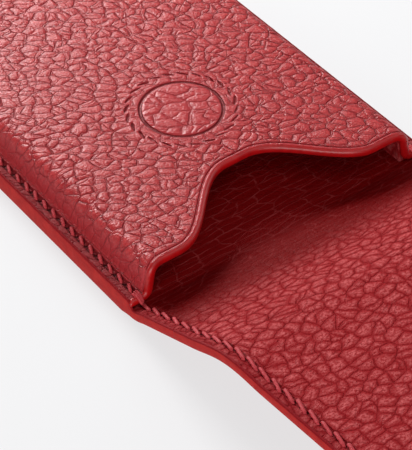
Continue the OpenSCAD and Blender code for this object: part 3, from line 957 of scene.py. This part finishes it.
def pocket_shell(name, sheet, points, attributes, inset, flange_z, material, hidden_look=None):
    """Closes a pocket sheet with a coarser, hidden one, whose attributes can follow its plan."""
    levels = pocket_levels(inset, flange_z, 0.0, 2.5)
    hidden = pocket_sheet(levels, np.linspace(0, 1, 40), np.linspace(-POCKET_HALF, POCKET_HALF, 31), 5)
    count, extra = len(points), len(hidden.points)
    both = np.concatenate([points, crowned(hidden.points, POCKET_LEATHER)])
    faces = sheet.faces.tolist() + (hidden.faces + count).tolist()
    for mine, theirs in ((sheet.flange, hidden.flange), (sheet.mouth, hidden.mouth)):
        faces += zip_loops(mine.tolist(), (theirs + count).tolist(), both)
    padding = hidden_look(hidden.plan) if hidden_look else HIDDEN
    looks = {key: np.concatenate([values, np.broadcast_to(padding[key], (extra, *values.shape[1:]))])
             for key, values in attributes.items()}
    return closed_piece(name, both, faces, looks, material)


def pocket_leather():
    magnet = MAGNET_Y - MOUTH
    rows = steps_between([(0, 0.16), (2.4, 0.4), (magnet - FINE_REACH, 0.26), (magnet + FINE_REACH, 0.46),
                          (TOP_LENGTH, None)]) / TOP_LENGTH
    across = [(-POCKET_HALF, 0.4), (-FINE_REACH, 0.26), (FINE_REACH, 0.4), (POCKET_HALF, None)]
    sheet = pocket_sheet(pocket_levels(0.0, FLANGE_TOP, FLANGE_FILLET, 0.4), rows, steps_between(across), 24)
    points = crowned(sheet.points, 0.0)
    back = lip_distance(points)
    edge = edge_distance(points[:, 0], points[:, 1])
    raised = points[:, 2] > FLANGE_TOP + 0.9
    on_flange = points[:, 2] < FLANGE_TOP + 0.3
    pressed = pressed_ring(points) + pressed_lip(back) * raised + bell(edge, 1.05, 0.2, -0.1) * on_flange
    points = points + point_normals(points, sheet.faces) * pressed[:, None]

    # The grain fades down the walls, in the pressed lines and towards the lip
    flat = sheet.wall < 0.1
    radius = np.hypot(points[:, 0], points[:, 1] - MAGNET_Y)
    in_disc = (radius < RING_RADIUS) & flat
    amount = 1.0 - 0.68 * ramp(sheet.wall, 0.3, 6.0) + 0.45 * ramp(sheet.wall, 8.0, 9.0)
    amount *= 1 - bell(radius, RING_RADIUS, 1.0, 0.75) * flat
    amount *= 1 - bell(radius, NOTCH_RADIUS, 1.1, 0.6) * flat
    amount *= 1 - 0.3 * in_disc
    amount *= 0.25 + 0.75 * ramp(back, 0.9, 2.6)
    centre = np.array([0.0, MAGNET_Y])
    plan = np.where(in_disc[:, None], centre + (sheet.plan - centre) * DISC_GRAIN + 70.0, sheet.plan)
    across, along = seam_place(points[:, 0], points[:, 1], POCKET_SEAM)
    seam = stack(np.where(on_flange, across, FAR), along, np.where(on_flange, edge, FAR))
    attributes = {"grain": stack(*(plan @ GRAIN_RUN).T, 0.0), "amount": amount, "seam": seam}
    lines = pressed_lines(points, back)
    points = relieved(points, sheet.faces, attributes, OUTER_RELIEF)

    # The mesh holds a soft version of the pressed lines, and the material has them crisp
    seam[:, 0] = np.where(~on_flange & (sheet.wall < 3.0), lines, seam[:, 0])
    seam[:, 1] = np.where(on_flange, along, 0.0)
    piece = pocket_shell("moulded_pocket", sheet, points, attributes, POCKET_LEATHER - WIDE_GAP,
                         FLANGE_UNDERSIDE + GAP, OUTER)
    ride_back(piece, "outer_leather", "pocket_leather")


def pocket_lining():
    rows = steps_between([(0, 0.5), (26, 1.6), (TOP_LENGTH, None)]) / TOP_LENGTH
    columns = np.linspace(-POCKET_HALF, POCKET_HALF, 81)
    sheet = pocket_sheet(pocket_levels(WALL, FLOOR + GAP, 0.0, 0.8), rows, columns, 8)

    def look(plan):
        grain = stack(plan[:, 0] + 400.0, plan[:, 1], 0.0)
        return {"grain": grain, "amount": np.full(len(plan), 0.7), "seam": np.full((len(plan), 3), FAR)}

    piece = pocket_shell("moulded_pocket_lining", sheet, crowned(sheet.points, WALL), look(sheet.plan),
                         POCKET_LEATHER + WIDE_GAP, FLANGE_UNDERSIDE - GAP, LINING, hidden_look=look)
    ride_back(piece, "lining_leather", "pocket_lining")


# ---- painted edges

EDGE_STEP = 0.35
SPINE_EDGE_POINTS = 28
END_ROUNDING = 0.8


def sweep(centres, outward, up, profiles):
    """A closed solid swept along a path. profiles has, for each path point, a ring of (out, up) offsets."""
    points = centres[:, None] + outward[:, None] * profiles[..., :1] + up[:, None] * profiles[..., 1:]
    return points.reshape(-1, 3), tube_faces(*profiles.shape[:2])


def bead(low, high, inside, bulge, radius):
    """Profiles of a painted edge between heights low and high: a little bulged, with rounded rims."""
    a = np.linspace(0, math.pi / 2, 5)
    rings = []
    for z0, z1 in zip(low, high):
        r = min(radius, (z1 - z0) / 2.2)
        lower = stack(r * np.sin(a) - r, z0 + r - r * np.cos(a))
        middle = stack(0.0, np.linspace(z0 + r, z1 - r, 6)[1:-1])
        upper = stack(r * np.cos(a) - r, z1 - r + r * np.sin(a))
        outline = np.concatenate([lower, middle, upper])
        share = (outline[:, 1] - z0) / (z1 - z0)
        outline[:, 0] += bulge * 4 * share * (1 - share)
        rings.append(np.concatenate([[[-inside, z0 + GAP]], outline, [[-inside, z1 - GAP]]]))
    return np.stack(rings)


def perimeter(start, end):
    """Path along the cut edge, from one y to the end of a panel and back, with its outward directions."""
    direction = np.sign(end - start)
    corner = end - direction * CORNER
    side = np.linspace(start, corner, max(2, round(abs(corner - start) / EDGE_STEP)), endpoint=False)
    a = np.linspace(0, math.pi / 2, 26)
    curve = stack(-np.cos(a), direction * np.sin(a))
    left = np.concatenate([stack(-HALF, side), curve * CORNER + [CORNER - HALF, corner]])
    left_out = np.concatenate([stack(-1.0, 0 * side), curve])
    x = np.linspace(CORNER - HALF, HALF - CORNER, round(2 * (HALF - CORNER) / EDGE_STEP))[1:-1]
    path = np.concatenate([left, stack(x, end), mirrored(left)])
    return path, np.concatenate([left_out, stack(0 * x, direction), mirrored(left_out)])


def edge_top(s):
    """Height of the painted edge's upper rim: the flange is part of it up to the mouth."""
    return FLOOR + (FLANGE_TOP - FLOOR) * ramp(CREASE[0] - MOUTH - s, -0.25, 0.75)


def edge_strip(path, out):
    """A painted edge along a path in the plan, in its rest shape, with the paint's own coordinates."""
    s = CREASE[0] - path[:, 1]
    profiles = bead(outer_face(s) + WIDE_GAP, edge_top(s) + 0.05, EDGE_INSET + 0.12, 0.1, 0.26)
    ring = profiles.shape[1]
    up = stack(0 * s, 0.0, 1.0)
    points, faces = sweep(stack(*path.T, 0.0), stack(*out.T, 0.0), up, profiles)
    steps = np.repeat(lengths_along(path), ring)
    # The rim's share, where the edge paint is darker, partly as painted shade
    rim = ramp(points[:, 2] - np.repeat(edge_top(s), ring), -0.5, 0.0)
    along = stack(steps, points[:, 2], rim)
    points[:, 2] += 0.015 * np.sin(steps * 1.9) * np.sin(steps * 0.53 + 1.0) * rim
    return to_rest(points), faces, along


def panel_edges():
    first, second = CREASE[0] - np.array(CUTS)
    y = np.linspace(first, second, SPINE_EDGE_POINTS)
    sides = []
    for side, run in ((-1, y), (1, y[::-1])):
        sides.append(edge_strip(stack(side * HALF, run), stack(side, 0 * run)))
    strips = {
        "painted_edge_back": edge_strip(*perimeter(first, PANEL_END)),
        "painted_edge_spine": join(sides),
        "painted_edge_flap": edge_strip(*perimeter(second, TIP)),
    }
    pieces = [closed_piece(name, points, faces, {"along": along}, PAINT)
              for name, (points, faces, along) in strips.items()]
    place_lengths(pieces, ([], [], []))


def mouth_section():
    """The mouth's cut edge in the XZ plane, from the left flange to the top's middle.

    Each row holds x and z halfway through the leather, its normal's x and z, and half its thickness.
    """
    half_flange, half_wall = (FLANGE_TOP - FLOOR) / 2, WALL / 2
    wall, fillet, radius = POCKET_HALF - half_wall, FLANGE_FILLET + half_wall, SHOULDER - half_wall
    flange_z = FLOOR + half_flange
    low, high = flange_z + fillet, POCKET_TOP - SHOULDER
    upper = wall - WALL_LEAN - radius

    flange = np.linspace(HALF - 0.05, wall + fillet, 16, endpoint=False)
    a = np.linspace(0, math.pi / 2, 9, endpoint=False)
    t = np.linspace(0, 1, 8, endpoint=False)
    b = np.linspace(0, math.pi / 2, 12, endpoint=False)
    thinning = half_flange + (half_wall - half_flange) * a / (math.pi / 2)
    return np.concatenate([
        stack(-flange, flange_z, 0.0, 1.0, half_flange),
        stack(fillet * np.sin(a) - wall - fillet, low - fillet * np.cos(a), -np.sin(a), np.cos(a), thinning),
        stack(WALL_LEAN * t - wall, low + (high - low) * t, -1.0, 0.0, half_wall),
        stack(-upper - radius * np.cos(b), high + radius * np.sin(b), -np.cos(b), np.sin(b), half_wall),
        stack(np.linspace(-upper, 0, 100), POCKET_TOP - half_wall, 0.0, 1.0, half_wall),
    ])


def mouth_edge():
    """The painted cut edge that runs from one flange end, up over the wave, and down to the other."""
    left = mouth_section()
    both = np.concatenate([left, left[-2::-1] * [-1, 1, -1, 1, 1]])
    x, z, normal_x, normal_z, half = both.T
    y = MOUTH + lip(x)
    centres = crowned(stack(x, y, z + WALL / 2), 0.0) - [0, 0, WALL / 2]
    up = stack(normal_x, 0.0, normal_z)
    outward = unit(np.cross(up, directions(centres)))
    outward *= -np.sign(outward[:, 1:2])
    profiles = bead(GAP - half, half + WIDE_GAP, LIP_INSET + 0.15, 0.14, 0.62)
    steps = lengths_along(centres)
    from_end = np.clip(np.minimum(steps, steps[-1] - steps) / END_ROUNDING, 0, 1)
    profiles *= np.sqrt(1 - (1 - from_end) ** 2 * 0.85)[:, None, None]
    points, faces = sweep(centres, outward, up, profiles)
    along = stack(np.repeat(steps, profiles.shape[1]), profiles[..., 1].ravel(), 0.0)
    ride_back(closed_piece("painted_mouth_edge", points, faces, {"along": along}, LIP_PAINT), "outer_leather")


# ---- stitches

THREAD_RADIUS = 0.31
FLAP_STITCH, FLAP_SLANT = 3.45, 16
POCKET_STITCH, POCKET_SLANT = 2.2, 24
# How deep the threads lie under the leather's plane, and how far above the outer faces' lowest point
GROOVE_FLOOR, OUTER_THREAD = 0.06, 0.42
TACK_RADIUS, TACK_SPREAD = 0.3, 0.378


def thread(centres, radius, turned, lobe, section=(1.0, 1.0)):
    """Three-ply thread along a path, with its coordinates. radius and turned follow the path."""
    side = stack(1.0, 0.0, 0 * radius)
    a = np.linspace(0, 2 * math.pi, 10, endpoint=False)
    reach = radius[:, None] * (1 + lobe * np.cos(3 * a - turned[:, None]))
    profiles = np.stack([np.cos(a) * reach * section[0], np.sin(a) * reach * section[1]], -1)
    points, faces = sweep(centres, side, np.cross(side, directions(centres)), profiles)
    return points, faces, np.column_stack([points[:, 1], profiles.reshape(-1, 2)])


def stitch(length, radius):
    """One stitch lying along +Y, its ends turned down into their holes."""
    t = np.linspace(-1, 1, 16)
    y = length / 2 * np.sin(t * math.pi / 2 * 0.98)
    z = 0.06 * (1 - t**2) - 0.55 * np.abs(t) ** 5
    taper = radius * (0.78 + 0.22 * (1 - t**4))
    return thread(stack(0.0, y, z), taper, 4.5 * math.pi * (t + 1), 0.13, (1.15, 0.9))


def stitches(places, length, slant, seed):
    """Stitches at (x, y, z, heading, up or down) places, as one part. Each differs a little."""
    random = np.random.default_rng(seed)
    parts = []
    for x, y, z, heading, face in places:
        own_length = length * random.uniform(0.94, 1.05)
        own_radius = THREAD_RADIUS * random.uniform(0.93, 1.06)
        points, faces, along = stitch(own_length, own_radius)
        angle = heading - math.radians(slant + random.uniform(-3, 3)) * face
        c, s = math.cos(angle), math.sin(angle)
        points = points @ np.array([[c, s, 0], [-s, c, 0], [0, 0, face]])
        points += [x, y, z + face * random.uniform(-0.03, 0.04)]
        parts.append((points, faces, along + [random.uniform(0, 50), 0, 0]))
    return join(parts)


def seam_places(seam, levels, sides, numbers, with_end):
    """Some of the stitches along a seam's sides on each face, then those round the end of its panel."""
    places = [(x, seam.first + seam.direction * k * seam.pitch, z, 0.0, face)
              for x in sides for z, face in levels for k in numbers]
    count = math.floor(END_RUN / seam.pitch) if with_end else 0
    for z, face in levels:
        for k in range(count):
            s = (k + 0.5) * END_RUN / count
            a = (min(s, SEAM_ARC) + max(0, s - SEAM_ARC - 2 * SEAM_FLAT)) / SEAM_RADIUS
            x = min(max(s - SEAM_ARC, 0) - SEAM_FLAT, SEAM_FLAT) - SEAM_RADIUS * math.cos(a)
            y = seam.end - seam.direction * (CORNER - SEAM_RADIUS * math.sin(a))
            places.append((x, y, z, -a * seam.direction, face))
    return places


def thread_piece(name, points, faces, along):
    return closed_piece(name, points, faces, {"along": along}, THREAD)


def pocket_seams():
    levels = ((FLANGE_TOP - GROOVE_FLOOR, 1), (OUTER_THREAD, -1))
    count = math.floor((PANEL_END - CORNER - POCKET_SEAM.first) / POCKET_PITCH) + 1
    # The sides that each seam runs along, and the seed of its stitches' small differences
    for end, sides, seed in (("left", (-SEAM_X,), 2), ("right", (SEAM_X,), 4), ("end", (), 9)):
        node = "pocket_seam_" + end
        places = seam_places(POCKET_SEAM, levels, sides, range(count), with_end=not sides)
        piece = thread_piece("thread_" + node, *stitches(places, POCKET_STITCH, POCKET_SLANT, seed))
        ride_back(piece, "thread", node)


def flap_seams():
    levels = ((FLOOR - GROOVE_FLOOR, 1), (FLAP_OUTER_FACE + OUTER_THREAD, -1))
    # The first and last stitch of each length along the sides, and the seed
    lengths = (("thread_crease", 0, 0, 20), ("thread_spine", 1, 3, 21), ("thread_flap", 4, 19, 22))
    pieces = []
    for name, first, last, seed in lengths:
        numbers = range(first, last + 1)
        places = seam_places(FLAP_SEAM, levels, (-SEAM_X, SEAM_X), numbers, with_end=name == "thread_flap")
        points, faces, along = stitches(places, FLAP_STITCH, FLAP_SLANT, seed)
        pieces.append(thread_piece(name, to_rest(points), faces, along))
    place_lengths(pieces, (["spine_seams"], ["flap_root_seams"], ["flap_tip_seams"]))


def corner_tacks():
    """Heavy turns of thread over the flange's end at each mouth corner."""
    random = np.random.default_rng(5)
    t = np.linspace(0, 1, 22)
    down = (FLANGE_TOP - FLOOR - 0.55) * ramp(t, 0.55, 1.0) + 0.45 * ramp(t, 0.12, 0.0)
    radius = TACK_RADIUS * (1 - 0.5 * np.abs(2 * t - 1) ** 4)
    for node, x in (("corner_tack_left", -SEAM_X), ("corner_tack_right", SEAM_X)):
        turns = []
        for k in range(3):
            across = x + TACK_SPREAD * (k - 1) + 0.5 * (t - 0.5) * (1 - k * 0.5)
            centres = stack(across, MOUTH + 1.9 - 2.75 * t + 0.15 * k, FLANGE_TOP + 0.1 - down)
            points, faces, along = thread(centres, radius, 9 * t, 0.12)
            turns.append((points, faces, along + [random.uniform(0, 50), 0, 0]))
        ride_back(thread_piece("thread_" + node, *join(turns)), "thread", node)


def hidden_nodes():
    """Boards and magnets keep their CAD shapes, and get their own materials."""
    board, magnet = board_material(), magnet_material()
    for name, node in frame["nodes"].items():
        if name.endswith(("_board", "_magnet")):
            node.data.materials.clear()
            node.data.materials.append(magnet if name.endswith("_magnet") else board)


# ---- stage, light and camera


def stage():
    bpy.ops.mesh.primitive_plane_add(size=6.0, location=(0, 0, -0.00002))
    floor = bpy.context.object
    floor.name = "floor"
    material, n, shader = new_material("paper_floor", 0.9)
    n.fill(shader, {
        "Base Color": (0.18, 0.18, 0.182),
        "Emission Color": (0.99, 0.99, 1.0),
        "Emission Strength": 0.69,
        "Specular IOR Level": 0.1,
    })
    floor.data.materials.append(material)


def soft_light(name, place, target, size, power):
    data = bpy.data.lights.new(name, "AREA")
    data.shape = "RECTANGLE"
    data.size, data.size_y = size
    data.energy = power
    lamp = bpy.data.objects.new(name, data)
    bpy.context.scene.collection.objects.link(lamp)
    lamp.location = place
    lamp.rotation_euler = (Vector(target) - Vector(place)).to_track_quat("-Z", "Y").to_euler()


def lights():
    world = bpy.data.worlds.new("studio")
    world.use_nodes = True
    background = world.node_tree.nodes["Background"]
    background.inputs["Color"].default_value = (1.0, 1.0, 1.02, 1)
    background.inputs["Strength"].default_value = 0.16
    bpy.context.scene.world = world
    soft_light("back_key", (0.062, 0.345, 0.19), (0, 0, 0), (0.19, 0.19), 2.8)
    soft_light("overhead", (0.10, -0.45, 0.80), (0, -0.06, 0), (0.7, 0.7), 2.0)
    soft_light("right_side", (0.55, 0.02, 0.36), (0, 0, 0), (0.4, 0.4), 0.8)
    soft_light("front_fill", (-0.60, -0.66, 0.30), (0, 0, 0), (0.7, 0.4), 6.2)


def camera():
    """A long lens at the angle of a product close-up of the mouth, from the front left."""
    azimuth, elevation, roll = math.radians(-37.28), math.radians(43.745), math.radians(0.2)
    distance = 371.9
    target = Vector((-9.354, MOUTH + 11.879, 0.0))
    back = Vector((math.sin(azimuth) * math.cos(elevation), -math.cos(azimuth) * math.cos(elevation),
                   math.sin(elevation)))
    data = bpy.data.cameras.new("camera")
    data.lens = 154.312
    data.clip_start, data.clip_end = 0.01, 20
    lens = bpy.data.objects.new("camera", data)
    bpy.context.scene.collection.objects.link(lens)
    lens.location = (target + back * distance) * MM
    lens.rotation_mode = "QUATERNION"
    lens.rotation_quaternion = (-back).to_track_quat("-Z", "Y") @ Quaternion((0, 0, 1), roll)
    bpy.context.scene.camera = lens


bpy.context.scene.view_settings.view_transform = "Standard"
lining()
outer_skin()
pocket_leather()
pocket_lining()
panel_edges()
mouth_edge()
pocket_seams()
flap_seams()
corner_tacks()
hidden_nodes()
stage()
lights()
camera()
